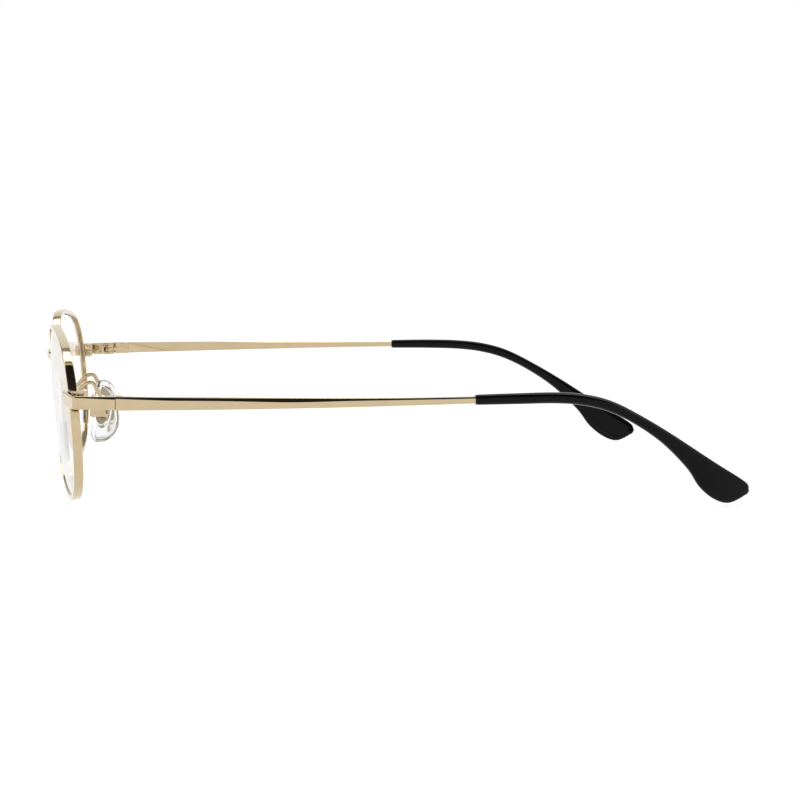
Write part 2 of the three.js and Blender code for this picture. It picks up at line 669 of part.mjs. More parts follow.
function padScrew() {
  const geometry = geometryOf(slottedScrew(PAD_SCREW_RADIUS, 2 * BOX_HALF_WIDTH, PAD_SCREW_HEAD));
  geometry.rotateX(-Math.PI / 2);
  geometry.translate(0, BOX_HALF_WIDTH + 0.03, 0);
  geometry.applyMatrix4(PAD_FRAME);
  return geometry;
}

function padArm() {
  const end = ARM_END_Z.map((z) => new THREE.Vector3(ARM_END_X, 0, z).applyMatrix4(PAD_FRAME));
  const path = [...ARM_PATH.map((p) => new THREE.Vector3(...p)), ...end];
  const curve = new THREE.CatmullRomCurve3(path, false, 'centripetal');
  const sideways = new THREE.Vector3(1, 0, 0);
  const stations = Array.from({ length: ARM_STATIONS }, (_, i) => {
    const t = i / (ARM_STATIONS - 1);
    const along = curve.getTangentAt(t);
    const v = sideways.clone().cross(along).normalize();
    const u = along.clone().cross(v).normalize();
    return { at: curve.getPointAt(t), u: u.multiplyScalar(ARM_RADIUS), v: v.multiplyScalar(ARM_RADIUS) };
  });
  return sweep(stations, roundSection(10, 2));
}

// ---- Assembly ----

function mirrored(geometry) {
  const copy = new THREE.BufferGeometry();
  const position = geometry.attributes.position.clone();
  for (let i = 0; i < position.count; i += 1) {
    position.setX(i, -position.getX(i));
  }
  copy.setAttribute('position', position);
  copy.setIndex(flipped(Array.from(geometry.index.array)));
  return copy;
}

function addPiece(name, geometry, look) {
  const mesh = new THREE.Mesh(geometry, new THREE.MeshStandardMaterial(look));
  mesh.name = name;
  glasses.add(mesh);
}

function addPair(name, geometry, look) {
  addPiece(`${name}_left`, geometry, look);
  addPiece(`${name}_right`, mirrored(geometry), look);
}

addPair('rim', rim(), GOLD);
addPair('lens', lens(), LENS_CLEAR);
addPiece('bridge', bridge(), GOLD);
addPair('endpiece', endpiece(), GOLD);
addPair('rim_lock_upper', lockHalf(true), GOLD);
addPair('rim_lock_lower', lockHalf(false), GOLD);
addPair('rim_lock_screw', lockScrew(), SCREW_GOLD);
addPair('hinge_front_leaf', hingeFrontLeaf(), GOLD);
addPair('hinge_temple_leaf', hingeTempleLeaf(), GOLD);
addPair('hinge_screw', hingeScrew(), SCREW_GOLD);
addPair('pad_arm', padArm(), GOLD);
addPair('pad_box', padBox(), GOLD);
addPair('pad_screw', padScrew(), SCREW_GOLD);
addPair('pad_insert', padInsert(), INSERT_GOLD);
addPair('nose_pad', nosePad(), PAD_CLEAR);
addPair('temple', temple(), GOLD);
addPair('temple_tip', templeTip(), TIP_BLACK);

const bounds = new THREE.Box3().setFromObject(glasses);
const base = bounds.getCenter(new THREE.Vector3()).setZ(bounds.min.z);
glasses.position.copy(base).negate();

export default glasses;
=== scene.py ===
import json
import math

import bmesh
import bpy
import numpy as np
from mathutils import Matrix, Vector

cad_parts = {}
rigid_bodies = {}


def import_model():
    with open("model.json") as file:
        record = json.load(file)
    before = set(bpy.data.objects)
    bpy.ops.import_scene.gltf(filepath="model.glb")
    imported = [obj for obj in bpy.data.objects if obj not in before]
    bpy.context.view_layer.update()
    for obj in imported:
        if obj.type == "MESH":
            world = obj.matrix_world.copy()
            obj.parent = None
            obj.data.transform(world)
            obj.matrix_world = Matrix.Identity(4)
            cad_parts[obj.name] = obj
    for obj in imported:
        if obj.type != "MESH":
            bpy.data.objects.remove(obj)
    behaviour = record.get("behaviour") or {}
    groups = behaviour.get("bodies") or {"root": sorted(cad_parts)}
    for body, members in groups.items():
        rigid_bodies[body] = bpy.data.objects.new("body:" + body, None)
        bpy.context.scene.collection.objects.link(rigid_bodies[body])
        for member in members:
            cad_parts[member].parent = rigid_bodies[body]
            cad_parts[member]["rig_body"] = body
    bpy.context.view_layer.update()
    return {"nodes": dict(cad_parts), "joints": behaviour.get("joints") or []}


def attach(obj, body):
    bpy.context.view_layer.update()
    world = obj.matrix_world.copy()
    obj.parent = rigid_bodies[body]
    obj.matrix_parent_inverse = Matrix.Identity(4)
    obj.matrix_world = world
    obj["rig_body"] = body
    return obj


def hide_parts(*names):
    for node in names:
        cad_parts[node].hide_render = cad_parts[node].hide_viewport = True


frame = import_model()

# Full-rim metal eyeglasses. Shapes are worked out in millimetres in the design frame, where X = 0 is
# the middle of the bridge, Y = 0 the hinge seam and Z = 0 the height of the temple bars. The packed
# hinge joint says where that frame lies.
MM = 0.001
HINGE_AT = np.array([66.85, -1.5, -0.15])
JOINTS = {joint["name"]: joint for joint in frame["joints"]}
SHIFT = np.array(JOINTS["temple_fold_left"]["pos_m"]) / MM - HINGE_AT

# Front
FRONT_Y = -14.97
WRAP = 0.105
LEAN = -0.066
NASAL_SWEEP = 0.75
NASAL_SWEEP_X = (20.0, 9.0)
RIM_OUTLINE = [
    (58.1, 0.4), (54.9, 6.0), (49.5, 9.6), (42.0, 11.5), (33.0, 12.7), (24.0, 13.3), (16.4, 12.1),
    (11.0, 7.7), (8.9, 0.8), (9.6, -6.2), (12.1, -13.0), (16.4, -18.5), (22.6, -22.5), (29.5, -24.6),
    (35.5, -24.9), (42.0, -24.1), (48.8, -21.9), (54.4, -18.2), (57.9, -12.6), (59.0, -6.0),
]
RIM_STATIONS = 260
RIM_SPLIT = 0.1
RIM_HALF_DEPTH = 1.0
TRIM_GAP = 0.03
RIM_SECTION = [
    (0.0, -1.0), (1.1, -1.0), (1.1, -0.58), (0.45, -0.2), (1.1, 0.18), (1.1, 1.0), (0.0, 1.0),
    (-0.03, 0.0),
]
RIM_RADII = [0.26, 0.14, 0.05, 0.04, 0.05, 0.14, 0.26, 0.5]
LENS_CENTRE = (34.0, -6.2)
LENS_DEPTH = -0.2
LENS_THICK = 0.9
LENS_DOME = 1.5
LENS_EDGE = 1.15
LENS_APEX = 0.55
LENS_BEVEL_HALF = 0.3
LENS_SHARES = [0.12, 0.25, 0.38, 0.5, 0.62, 0.74, 0.86, 0.94]

BRIDGE_HEIGHT = 2.3
BRIDGE_THICK = 1.3
BRIDGE_END = (-13.5, 4.2)
BRIDGE_MIDDLE = (-15.35, 4.7)
BRIDGE_BITE = 0.12
BRIDGE_SWELL = 0.12
BRIDGE_FOOT = 0.16
BRIDGE_FOOT_START = 0.86
BRIDGE_STATIONS = 61

ENDPIECE_FRONT = (57.2, -11.2)
ENDPIECE_CORNER = (67.75, -8.85)
ENDPIECE_SEAM = (69.6, -0.1)
ENDPIECE_BEND = 0.75
ENDPIECE_THICK = 1.05
ENDPIECE_Z = (-1.3, 1.42)
ENDPIECE_ROUND = 1.5
ENDPIECE_RISE = 0.2
ENDPIECE_RISE_LENGTH = 10.0
ENDPIECE_BEVEL = (0.24, 0.54)
ENDPIECE_BEVEL_LENGTH = 8.0

# Temples
TEMPLE_SPREAD = 69.0
TEMPLE_BOW = 3.6
TEMPLE_BOW_LENGTH = 100.0
TEMPLE_TUCK = 10.7
TEMPLE_TUCK_START = 84.0
TEMPLE_TUCK_LENGTH = 56.0
TEMPLE_TUCK_POWER = 1.3
TEMPLE_CANT = 0.11
TEMPLE_CANT_LENGTH = 15.0
BAR_TOP = [(0.1, 1.48), (10, 1.29), (20, 1.18), (40, 0.92), (60, 0.74), (75.55, 0.72)]
BAR_BOTTOM = [(0.1, -1.42), (10, -1.33), (20, -1.27), (40, -1.07), (60, -0.83), (75.55, -0.68)]
BAR_HALF_THICK = (0.68, 0.58)
BEVEL_DROP = 0.3
BEVEL_GROWTH = 0.17
BEVEL_GROWTH_LENGTH = 12.0
BEVEL_SWELL = 0.26
BEVEL_SWELL_AT = 37.0
BEVEL_SWELL_LENGTH = 10.0
BEVEL_SLOPE = 0.87
INNER_BEVEL = 0.3
INNER_BEVEL_START = 22.0
INNER_BEVEL_LENGTH = 20.0
TIP_TOP = [
    (75.6, 1.11), (85, 1.2), (93.4, 1.06), (100.1, 0.32), (106.3, -1.4), (113, -4.75),
    (120.5, -9.2), (127.7, -13.85), (132.6, -17), (137, -19.7), (139.3, -21.35), (139.75, -22.6),
]
TIP_BOTTOM = [
    (75.6, -1.07), (85, -1.12), (93, -1.28), (99.3, -1.95), (105.4, -3.6), (111.9, -6.8),
    (118.6, -11.4), (124.7, -17.3), (127.9, -21.65), (131.6, -24.6), (135.2, -25.6), (138.9, -23.9),
]
TIP_HALF_THICK = [1.2, 1.4, 1.35, 0.6]
TIP_END_OUT = (0.0, 0.92, -0.38)
TIP_END_ROUND = 0.28
MOUTH_OUT = 0.3
MOUTH_LENGTH = 0.8
MOUTH_DROP = 0.2
CORE_END = 0.62
CORE_PLAY = 0.05
CORE_START = (0.58, 0.7)
CORE_FINISH = (0.45, 0.45)

# Nose pads, in their own frame: x away from the nose, y to the rear, z up, origin on the pivot.
PAD_PIVOT = (9.75, -3.7, -8.1)
PAD_SPLAY = math.radians(25)
PAD_SLANT = math.radians(14)
PAD_OUTLINE = [
    (-1.2, 6.3), (1.0, 5.7), (2.8, 3.6), (3.8, 0.9), (4.3, -2.2), (3.5, -4.8), (1.6, -6.6),
    (-0.2, -7.15), (-1.6, -7.05), (-2.4, -6.0), (-2.6, -3.0), (-2.6, 1.0), (-2.3, 4.4),
]
PAD_BOSS_AT = (0.1, 0.0)
PAD_BOSS_HALF = (2.3, 3.8)
# Rings from the face on the nose to the boss: how far out, and the share of the outline or boss.
PAD_FACE = [
    (-3.25, 0.15), (-3.23, 0.35), (-3.14, 0.55), (-2.97, 0.72), (-2.7, 0.87), (-2.4, 0.96), (-2.05, 1.0),
]
PAD_BACK = [(-1.75, 0.985), (-1.58, 0.94), (-1.5, 0.88)]
PAD_BOSS = [(-1.48, 1.06), (-1.42, 1.0), (-1.2, 0.95), (-1.1, 0.87), (-1.09, 0.4)]
PAD_SIDES = 96
ARM_RADIUS = 0.48
ARM_FOOT = 0.3
ARM_FOOT_LENGTH = 0.06
ARM_STATIONS = 110
ARM_PATH = [
    (10.05, -11.7, -6.1), (10.1, -10.55, -5.3), (9.95, -9.0, -3.9), (9.7, -7.5, -2.2),
    (9.6, -6.3, -1.5), (9.65, -5.2, -1.6), (9.8, -4.5, -2.8),
]
ARM_END = [(0.45, 0.0, 3.4), (0.45, 0.0, 2.4), (0.45, 0.0, 1.68)]

# Camera, from the design frame's origin.
CAMERA_AT = (531.06, 0.15, 50.76)
CAMERA_YAW = math.radians(7.334)
CAMERA_PITCH = math.radians(6.228)
CAMERA_LENS = 99.8

# Cards that only glossy surfaces show. Strips over the set: between which angles above +X, how bright.
STRIPS = [
    ("flag_wide", 39.0, 89.0, 0.0),
    ("flag_thin", 92.0, 99.0, 0.3),
    ("softbox", 99.0, 120.0, 3.2),
    ("flag_back", 120.0, 133.0, 0.35),
]
# Dark boards that stand beside the set: from and to which angle round it, and how bright.
WALLS = [("flag_front", 207.0, 232.0, 0.0), ("flag_behind", 128.0, 153.0, 0.0)]
WALL_DISTANCE = 2.0
WALL_HEIGHT = 1.1
CARD_HEIGHT = 0.9
CARD_HALF = 1.4


# ---- Curves and sections ----

def knots(points):
    """Square-root spaced parameters, which keep a curve through uneven points from overshooting."""
    steps = np.sqrt(np.linalg.norm(np.diff(points, axis=0), axis=1))
    return np.concatenate([[0], np.cumsum(steps)])


def catmull(points, closed, fine=24):
    """A smooth curve through the points, densely sampled."""
    p = np.array(points, float)
    if closed:
        p = np.vstack([p[-1], p, p[0], p[1]])
    else:
        p = np.vstack([2 * p[0] - p[1], p, 2 * p[-1] - p[-2]])
    t = knots(p)
    out = []
    for i in range(1, len(p) - 2):
        a, b, c = t[i] - t[i - 1], t[i + 1] - t[i], t[i + 2] - t[i + 1]
        m1 = ((p[i] - p[i - 1]) / a - (p[i + 1] - p[i - 1]) / (a + b) + (p[i + 1] - p[i]) / b) * b
        m2 = ((p[i + 1] - p[i]) / b - (p[i + 2] - p[i]) / (b + c) + (p[i + 2] - p[i + 1]) / c) * b
        for s in np.arange(fine) / fine:
            h = (2 * s**3 - 3 * s**2 + 1, s**3 - 2 * s**2 + s, 3 * s**2 - 2 * s**3, s**3 - s**2)
            out.append(h[0] * p[i] + h[1] * m1 + h[2] * p[i + 1] + h[3] * m2)
    out.append(p[-2])
    return np.array(out)


def along(curve, shares):
    """Points at shares of a sampled curve's length."""
    length = np.concatenate([[0], np.cumsum(np.linalg.norm(np.diff(curve, axis=0), axis=1))])
    at = np.asarray(shares) * length[-1]
    return np.stack([np.interp(at, length, curve[:, k]) for k in range(curve.shape[1])], axis=1)


def spline(points, t):
    """A uniform spline through the points, at t from 0 to 1."""
    p = np.array(points, float)
    at = min(max(t, 0.0), 1.0) * (len(p) - 1)
    i = min(int(at), len(p) - 2)
    s = at - i
    p0, p1, p2, p3 = p[max(i - 1, 0)], p[i], p[i + 1], p[min(i + 2, len(p) - 1)]
    v0, v1 = (p2 - p0) / 2, (p3 - p1) / 2
    return (2 * p1 - 2 * p2 + v0 + v1) * s**3 + (3 * p2 - 3 * p1 - 2 * v0 - v1) * s**2 + v0 * s + p1


def rounded(points, radii, steps=4):
    """A closed polygon with each corner turned into an arc."""
    p = np.array(points, float)
    out = []
    for i, corner in enumerate(p):
        before, after = p[i - 1] - corner, p[(i + 1) % len(p)] - corner
        r = radii[i] if hasattr(radii, "__len__") else radii
        a = corner + before * min(r / np.linalg.norm(before), 0.48)
        b = corner + after * min(r / np.linalg.norm(after), 0.48)
        for s in np.linspace(0, 1, steps + 1):
            out.append((1 - s) ** 2 * a + 2 * s * (1 - s) * corner + s**2 * b)
    return np.array(out)


def oval(sides, power=2.0):
    """A unit oval: power 2 is an ellipse and higher powers are squarer."""
    angle = (np.arange(sides) + 0.5) / sides * 2 * math.pi
    c, s = np.cos(angle), np.sin(angle)
    return np.stack([np.sign(c) * np.abs(c) ** (2 / power), np.sign(s) * np.abs(s) ** (2 / power)], axis=1)


def unit(v):
    return v / np.linalg.norm(v)


# ---- Meshes ----

def skin(rings, around=False):
    """Vertices and faces over a row of rings; around joins the last ring to the first."""
    count = len(rings[0])
    verts = [tuple(p) for ring in rings for p in ring]
    faces = []
    for i in range(len(rings) - (0 if around else 1)):
        a0, b0 = i * count, ((i + 1) % len(rings)) * count
        for j in range(count):
            k = (j + 1) % count
            faces.append((a0 + j, a0 + k, b0 + k, b0 + j))
    if not around:
        for first, turn in ((0, -1), ((len(rings) - 1) * count, 1)):
            centre = len(verts)
            verts.append(tuple(np.mean(verts[first:first + count], axis=0)))
            for j in range(count):
                pair = (first + j, first + (j + 1) % count)
                faces.append((*pair[::turn], centre))
    return verts, faces


def new_object(name, verts, faces, smooth_angle=38):
    mesh = bpy.data.meshes.new(name)
    mesh.from_pydata([tuple((np.array(v) + SHIFT) * MM) for v in verts], [], faces)
    bm = bmesh.new()
    bm.from_mesh(mesh)
    bmesh.ops.recalc_face_normals(bm, faces=bm.faces)
    bm.to_mesh(mesh)
    bm.free()
    mesh.shade_smooth()
    mesh.set_sharp_from_angle(angle=math.radians(smooth_angle))
    obj = bpy.data.objects.new(name, mesh)
    bpy.context.scene.collection.objects.link(obj)
    return obj


def place(obj, node, look):
    """Puts a finished piece in the place of the CAD node that it shows."""
    obj.data.materials.clear()
    obj.data.materials.append(look)
    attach(obj, frame["nodes"][node]["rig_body"])
    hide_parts(node)


def add_pair(node, shape, look, smooth_angle=38):
    """Makes the wearer's left piece and its mirror image on the right."""
    verts, faces = shape
    for side, sign in (("left", 1), ("right", -1)):
        flipped = [(sign * v[0], v[1], v[2]) for v in verts]
        obj = new_object(f"{node}_{side}_shown", flipped, faces, smooth_angle)
        place(obj, f"{node}_{side}", look)


def refined(node, look, width=0.06, segments=3):
    """A small machined part: its CAD solid with welded, softened edges."""
    mesh = frame["nodes"][node].data.copy()
    mesh.name = f"{node}_shown"
    bm = bmesh.new()
    bm.from_mesh(mesh)
    bmesh.ops.remove_doubles(bm, verts=bm.verts, dist=2e-6)
    bmesh.ops.dissolve_limit(bm, angle_limit=math.radians(2), verts=bm.verts, edges=bm.edges)
    sharp = [e for e in bm.edges if len(e.link_faces) == 2 and e.calc_face_angle() > math.radians(32)]
    bmesh.ops.bevel(bm, geom=sharp, offset=width * MM, segments=segments, profile=0.5,
                    affect="EDGES", clamp_overlap=True)
    bmesh.ops.recalc_face_normals(bm, faces=bm.faces)
    bm.to_mesh(mesh)
    bm.free()
    mesh.shade_smooth()
    mesh.set_sharp_from_angle(angle=math.radians(35))
    obj = bpy.data.objects.new(mesh.name, mesh)
    bpy.context.scene.collection.objects.link(obj)
    place(obj, node, look)


def refined_pair(node, look, width=0.06):
    for side in ("left", "right"):
        refined(f"{node}_{side}", look, width)


# ---- Front ----

FRONT_NORMAL = unit(np.array([-WRAP, 1.0, -LEAN]))
RIM_CURVE = catmull(RIM_OUTLINE, closed=True)


def on_front(x, z, depth=0.0):
    share = max(0.0, (NASAL_SWEEP_X[0] - x) / (NASAL_SWEEP_X[0] - NASAL_SWEEP_X[1]))
    y = FRONT_Y + WRAP * x + LEAN * z + NASAL_SWEEP * share**2
    return np.array([x, y, z]) + FRONT_NORMAL * depth


def rim_frames(start, stop, count):
    """Points on the rim's outer edge with their inward directions, in X and Z."""
    shares = np.linspace(start, stop, count)
    step = 0.002
    at = along(RIM_CURVE, shares)
    tangent = along(RIM_CURVE, np.clip(shares + step, 0, 1)) - along(RIM_CURVE, np.clip(shares - step, 0, 1))
    tangent /= np.linalg.norm(tangent, axis=1)[:, None]
    inward = np.stack([-tangent[:, 1], tangent[:, 0]], axis=1)
    return list(zip(at, inward))


RIM_LOOP = rim_frames(0, 1 - 1 / RIM_STATIONS, RIM_STATIONS)


def rim_shape():
    section = rounded(RIM_SECTION, RIM_RADII)
    length = np.linalg.norm(np.diff(RIM_CURVE, axis=0), axis=1).sum()
    edge = RIM_SPLIT / 2 / length
    rings = []
    for at, inward in rim_frames(edge, 1 - edge, RIM_STATIONS):
        rings.append([on_front(*(at + inward * inset), depth) for inset, depth in section])
    return skin(rings)


def lens_shape():
    half = LENS_THICK / 2

    def inner(share, side):
        ring = []
        for at, inward in RIM_LOOP:
            x, z = np.array(LENS_CENTRE) * (1 - share) + (at + inward * LENS_EDGE) * share
            ring.append(on_front(x, z, LENS_DEPTH + side * half - LENS_DOME * (1 - share**2)))
        return ring

    def edge(inset, depth):
        return [on_front(*(at + inward * inset), LENS_DEPTH + depth) for at, inward in RIM_LOOP]

    rings = [inner(share, -1) for share in LENS_SHARES]
    rings += [edge(LENS_EDGE, -half), edge(LENS_EDGE, -LENS_BEVEL_HALF), edge(LENS_APEX, 0.0)]
    rings += [edge(LENS_EDGE, LENS_BEVEL_HALF), edge(LENS_EDGE, half)]
    rings += [inner(share, 1) for share in reversed(LENS_SHARES)]
    verts, faces = skin(rings)
    for side, centre in ((-1, len(verts) - 2), (1, len(verts) - 1)):
        verts[centre] = tuple(on_front(*LENS_CENTRE, LENS_DEPTH + side * half - LENS_DOME))
    return verts, faces


def nasal_edge(z):
    """How far out the rim's nasal side is at a height."""
    nasal = RIM_CURVE[(RIM_CURVE[:, 0] < 20) & (RIM_CURVE[:, 1] > -12) & (RIM_CURVE[:, 1] < 11)]
    nasal = nasal[np.argsort(nasal[:, 1])]
    return float(np.interp(z, nasal[:, 1], nasal[:, 0]))


def bridge_shape():
    ring_shape = oval(36, 2.8)
    ey, ez = BRIDGE_END
    my, mz = BRIDGE_MIDDLE
    rings = []
    for share in np.linspace(-1, 1, BRIDGE_STATIONS):
        lift = math.cos(share * math.pi / 2)
        foot = BRIDGE_FOOT * max(0.0, (abs(share) - BRIDGE_FOOT_START) / (1 - BRIDGE_FOOT_START)) ** 2
        height = BRIDGE_HEIGHT / 2 * (1 + BRIDGE_SWELL * share**2 + foot)
        thick = BRIDGE_THICK / 2 * (1 + foot)
        ring = []
        for a, b in ring_shape:
            reach = nasal_edge(ez + b * height) + BRIDGE_BITE
            y = ey + (my - ey) * lift + a * thick
            ring.append((share * reach, y, ez + (mz - ez) * lift + b * height))
        rings.append(ring)
    return skin(rings)


def endpiece_path():
    front, corner, seam = (np.array(p) for p in (ENDPIECE_FRONT, ENDPIECE_CORNER, ENDPIECE_SEAM))
    before = corner + unit(front - corner) * ENDPIECE_BEND
    after = corner + unit(seam - corner) * ENDPIECE_BEND
    front_run = [front + (before - front) * t for t in np.linspace(0, 1, 25)[:-1] ** 1.6]
    bend = [(1 - s) ** 2 * before + 2 * s * (1 - s) * corner + s**2 * after for s in np.linspace(0, 1, 15)]
    side_run = [after + (seam - after) * t for t in np.linspace(0, 1, 13)[1:]]
    return front_run + bend + side_run


def endpiece_shape():
    path = endpiece_path()
    rings = []
    for i, p in enumerate(path):
        direction = unit(path[min(i + 1, len(path) - 1)] - path[max(i - 1, 0)])
        inward = np.array([-direction[1], direction[0]])
        from_end = np.linalg.norm(p - path[0])
        missing = max(0.0, 1 - from_end / ENDPIECE_ROUND)
        cut = ENDPIECE_ROUND * (1 - math.sqrt(max(0.0, 1 - missing**2)))
        rise = ENDPIECE_RISE * max(0.0, 1 - from_end / ENDPIECE_RISE_LENGTH)
        bottom = ENDPIECE_Z[0] + rise + cut * 0.8
        top = ENDPIECE_Z[1] + rise
        share = min(1.0, max(0.0, (p[1] - ENDPIECE_CORNER[1]) / ENDPIECE_BEVEL_LENGTH))
        drop = ENDPIECE_BEVEL[0] + (ENDPIECE_BEVEL[1] - ENDPIECE_BEVEL[0]) * share
        section = [(0, bottom), (0, top - drop), (drop * 0.75, top), (ENDPIECE_THICK, top),
                   (ENDPIECE_THICK, bottom)]
        outline = rounded(section, [0.2, 0.07, 0.07, 0.15, 0.15])
        rings.append([(p[0] + inward[0] * a, p[1] + inward[1] * a, z) for a, z in outline])
    return skin(rings)


def rim_disc():
    """The disc that the left rim fills, a little oversize, for trimming what is soldered to it."""
    reach = RIM_HALF_DEPTH + TRIM_GAP
    return skin([[on_front(*(at - inward * TRIM_GAP), depth) for at, inward in RIM_LOOP]
                 for depth in (-reach, reach)])


def trimmed(shape):
    """The shape without what lies inside the left rim's disc."""
    body = new_object("trim_body", *shape)
    tool = new_object("trim_tool", *rim_disc())
    cut = body.modifiers.new("cut", "BOOLEAN")
    cut.operation = "DIFFERENCE"
    cut.solver = "EXACT"
    cut.object = tool
    evaluated = body.evaluated_get(bpy.context.evaluated_depsgraph_get()).to_mesh()
    verts = [tuple(np.array(v.co) / MM - SHIFT) for v in evaluated.vertices]
    faces = [tuple(p.vertices) for p in evaluated.polygons]
    bpy.data.objects.remove(body)
    bpy.data.objects.remove(tool)
    return verts, faces


# ---- Temples ----

def lateral(y):
    tuck = max(0.0, (y - TEMPLE_TUCK_START) / TEMPLE_TUCK_LENGTH) ** TEMPLE_TUCK_POWER
    return TEMPLE_SPREAD + TEMPLE_BOW * math.sin(math.pi * y / TEMPLE_BOW_LENGTH) - TEMPLE_TUCK * tuck


def edge_station(top, bottom, t):
    """Middle, unit sideways direction and half the height between a top and a bottom edge."""
    def middle(s):
        y, z = (spline(top, s) + spline(bottom, s)) / 2
        return np.array([lateral(y), y, z])

    at = middle(t)
    rise = (spline(top, t) - spline(bottom, t)) / 2
    cant = TEMPLE_CANT * min(max(at[1] / TEMPLE_CANT_LENGTH, 0.0), 1.0)
    v = np.array([np.linalg.norm(rise) * cant, rise[0], rise[1]])
    u = unit(np.cross(middle(min(t + 0.004, 1.0)) - middle(max(t - 0.004, 0.0)), v))
    return at, u, v


def core_station(t, grow):
    at, u, v = edge_station(TIP_TOP, TIP_BOTTOM, t)
    w, h = (a + (b - a) * t / CORE_END + grow for a, b in zip(CORE_START, CORE_FINISH))
    return at, u * w, unit(v) * h


def bar_section(width, height, y):
    """Outer face to the right: a wide bevel on the top outer edge and a small one on the inner."""
    swell = BEVEL_SWELL * math.exp(-(((y - BEVEL_SWELL_AT) / BEVEL_SWELL_LENGTH) ** 2))
    growth = BEVEL_GROWTH * min(max(y / BEVEL_GROWTH_LENGTH, 0.0), 1.0)
    drop = (BEVEL_DROP + growth + swell) * height
    inset = min(drop * BEVEL_SLOPE, width * 1.1)
    inner = INNER_BEVEL * min(max((y - INNER_BEVEL_START) / INNER_BEVEL_LENGTH, 0.1), 1.0)
    points = [(-width, -height), (width, -height), (width * 1.04, -height * 0.2), (width, height - drop),
              (width - inset, height), (inner - width, height), (-width, height - inner)]
    return rounded(points, [0.16, 0.14, 0.9, 0.1, 0.08, 0.06, 0.06], 5)


def temple_shape():
    rings = []
    for t in np.linspace(0, 1, 130):
        at, u, v = edge_station(BAR_TOP, BAR_BOTTOM, t)
        width = BAR_HALF_THICK[0] + (BAR_HALF_THICK[1] - BAR_HALF_THICK[0]) * t
        height = np.linalg.norm(v)
        rings.append([at + u * a + v / height * b for a, b in bar_section(width, height, at[1])])
    for t in np.linspace(0.002, CORE_END, 50):
        at, u, v = core_station(t, 0.0)
        width, height = np.linalg.norm(u), np.linalg.norm(v)
        rings.append([at + unit(u) * a + unit(v) * b for a, b in bar_section(width, height, at[1])])
    return skin(rings)


def tip_section(t):
    """Round where the sleeve grips the bar, flatter towards the paddle."""
    flat = min(max((t - 0.2) / 0.4, 0.0), 1.0)
    return oval(48, 2.1 + 0.5 * flat)


def tip_shape():
    bore_section = oval(48, 4.0)
    rings = []
    for t in np.linspace(CORE_END + 0.004, 0, 40):
        at, u, v = core_station(t, CORE_PLAY)
        rings.append([at + u * a + v * b for a, b in bore_section])
    at, u, v = core_station(0, CORE_PLAY)
    rings.append([at + u * a + v * b - (0, MOUTH_OUT, 0) for a, b in bore_section])
    at, u, v = edge_station(TIP_TOP, TIP_BOTTOM, 0)
    width = TIP_HALF_THICK[0]
    for angle in np.radians([0, 18, 36, 54, 72]):
        middle = at - (0, MOUTH_OUT - MOUTH_LENGTH * (1 - math.cos(angle)), 0)
        size = 1 - MOUTH_DROP * (1 - math.sin(angle))
        rings.append([middle + u * a * width * size + v * b * size for a, b in tip_section(0)])
    for t in np.linspace(0.008, 1, 190):
        at, u, v = edge_station(TIP_TOP, TIP_BOTTOM, t)
        width = spline([(w,) for w in TIP_HALF_THICK], t)[0]
        section = tip_section(t)
        rings.append([at + u * a * width + v * b for a, b in section])
    direction = unit(np.array(TIP_END_OUT))
    for angle in np.radians([25, 50, 72]):
        middle = at + direction * TIP_END_ROUND * math.sin(angle)
        rings.append([middle + (u * a * width + v * b) * math.cos(angle) for a, b in section])
    return skin(rings)


# ---- Nose pads ----

def pad_frame():
    slant = Matrix.Rotation(-PAD_SLANT, 4, "Y")
    splay = Matrix.Rotation(-PAD_SPLAY, 4, "Z")
    return np.array(Matrix.Translation(PAD_PIVOT) @ splay @ slant)


PAD_FRAME = pad_frame()


def in_pad_frame(points):
    p = np.array(points, float)
    return p @ PAD_FRAME[:3, :3].T + PAD_FRAME[:3, 3]


def pad_shape():
    angles = np.arange(PAD_SIDES) / PAD_SIDES * 2 * math.pi
    spokes = np.stack([np.cos(angles), np.sin(angles)], axis=1)
    centre = np.array(PAD_BOSS_AT)
    curve = catmull(PAD_OUTLINE, closed=True) - centre
    turn = np.unwrap(np.arctan2(curve[:, 1], curve[:, 0]))
    order = np.argsort(turn)
    reach = np.interp((angles - turn.min()) % (2 * math.pi) + turn.min(), turn[order],
                      np.linalg.norm(curve, axis=1)[order])
    outline = spokes * reach[:, None]
    boss = spokes * np.array(PAD_BOSS_HALF)
    rings = []
    for levels, shape in ((PAD_FACE + PAD_BACK, outline), (PAD_BOSS, boss)):
        for x, share in levels:
            flat = centre + shape * share
            rings.append(in_pad_frame([(x, a, b) for a, b in flat]))
    return skin(rings)


def arm_shape():
    path = np.vstack([np.array(ARM_PATH), in_pad_frame(ARM_END)])
    curve = catmull(path, closed=False)
    shares = np.linspace(0, 1, ARM_STATIONS)
    centres = along(curve, shares)
    section = oval(24)
    rings = []
    for i, at in enumerate(centres):
        direction = unit(centres[min(i + 1, len(centres) - 1)] - centres[max(i - 1, 0)])
        v = unit(np.cross((1, 0, 0), direction))
        u = unit(np.cross(direction, v))
        radius = ARM_RADIUS + ARM_FOOT * max(0.0, 1 - shares[i] / ARM_FOOT_LENGTH) ** 2
        rings.append([at + u * a * radius + v * b * radius for a, b in section])
    return skin(rings)


# ---- Materials ----

def node_setup(name):
    material = bpy.data.materials.new(name)
    material.use_nodes = True
    nodes = material.node_tree.nodes
    links = material.node_tree.links
    shader = nodes["Principled BSDF"]
    coords = nodes.new("ShaderNodeTexCoord").outputs["Object"]
    return material, nodes, links, shader, coords


